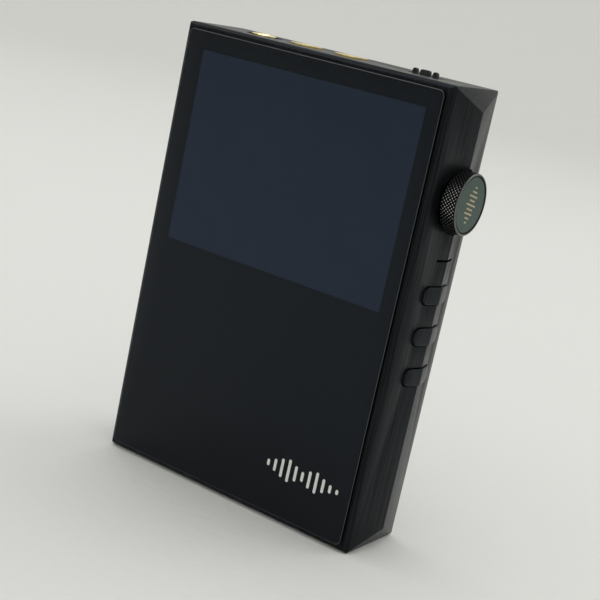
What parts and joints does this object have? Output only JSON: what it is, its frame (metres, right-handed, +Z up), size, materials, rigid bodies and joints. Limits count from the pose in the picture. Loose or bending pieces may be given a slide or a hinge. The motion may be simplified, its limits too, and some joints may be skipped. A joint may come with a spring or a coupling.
{
  "type": "digital audio player",
  "caption": "Pocket digital audio player: glass-fronted display in a ridged metal case, with jack sockets and a slide switch on top, and a volume knob and keys at the side.",
  "frame": {"origin": "middle of the bottom face, halfway through the whole depth", "axes": "+Z up along the height, +X towards the knob and keys, -Y out of the display"},
  "size_m": [0.078, 0.022, 0.1096],
  "materials": {
    "case": "brushed black anodised",
    "front_glass": "polished, black behind",
    "black_rubber": "matt",
    "film": "adhesive film",
    "display": "unlit panel",
    "white_plastic": "moulded",
    "steel": "pressed sheet",
    "flex": "polyimide film",
    "black_plastic": "moulded",
    "foam": "open-cell foam",
    "plate": "stamped",
    "screws": "zinc plated",
    "board": "solder mask",
    "battery": "foil pouch",
    "brass": "turned",
    "capacitor": "sleeved can",
    "gilt": "gold plated",
    "slide_button": "bead blasted",
    "bush": "nickel plated",
    "knob": "knurled black anodised",
    "knob_inlay": "green anodised, brushed",
    "keys": "brushed black anodised",
    "light_pipe": "smoked",
    "back_panel": "black glass"
  },
  "bodies": {
    "case": {"case_body": "case", "front_glass": "front_glass", "glass_gasket": "black_rubber", "glass_adhesive": "film", "display_panel": "display", "backlight": "white_plastic", "display_tray": "steel", "display_flex": "flex", "flex_connector": "black_plastic", "front_foam": "foam", "middle_plate": "plate", "middle_plate_screws": "screws", "main_board": "board", "main_board_screws": "screws", "processor_shield": "steel", "memory_shield": "steel", "usb_shell": "steel", "usb_tongue": "black_plastic", "card_socket": "steel", "battery": "battery", "battery_board": "board", "battery_foam": "foam", "board_spacers": "brass", "audio_board": "board", "audio_board_screws": "screws", "converter_shield": "steel", "capacitors": "capacitor", "wide_jack": "black_plastic", "line_jack": "black_plastic", "phone_jack": "black_plastic", "wide_jack_ring": "gilt", "line_jack_ring": "gilt", "phone_jack_ring": "gilt", "switch_body": "steel", "encoder_body": "steel", "encoder_bush": "bush", "encoder_washer": "steel", "encoder_nut": "steel", "key_board": "board", "key_board_screws": "screws", "key_switch_1": "white_plastic", "key_switch_2": "white_plastic", "key_switch_3": "white_plastic", "status_led": "white_plastic", "light_pipe": "light_pipe", "rear_plate": "plate", "rear_plate_screws": "screws", "back_adhesive": "film", "back_panel": "back_panel"},
    "slide_switch": {"slide_button": "slide_button", "slide_lever": "black_plastic"},
    "knob": {"encoder_shaft": "bush", "volume_knob": "knob", "knob_inlay": "knob_inlay"},
    "upper_key": {"key_1": "keys"},
    "middle_key": {"key_2": "keys"},
    "lower_key": {"key_3": "keys"}
  },
  "joints": [
    {"name": "volume_turn", "type": "hinge", "parent": "case", "child": "knob", "pos_m": [0.0395, 0.0006, 0.0835], "axis": [1, 0, 0], "continuous": true},
    {"name": "switch_slide", "type": "slide", "parent": "case", "child": "slide_switch", "axis": [1, 0, 0], "range_m": [-0.001, 0.001]},
    {"name": "upper_key_press", "type": "slide", "parent": "case", "child": "upper_key", "axis": [-1, 0, 0], "range_m": [0, 0.00035], "stiffness_N_per_m": 1500, "springref_m": -0.0003},
    {"name": "middle_key_press", "type": "slide", "parent": "case", "child": "middle_key", "axis": [-1, 0, 0], "range_m": [0, 0.00035], "stiffness_N_per_m": 1500, "springref_m": -0.0003},
    {"name": "lower_key_press", "type": "slide", "parent": "case", "child": "lower_key", "axis": [-1, 0, 0], "range_m": [0, 0.00035], "stiffness_N_per_m": 1500, "springref_m": -0.0003}
  ]
}
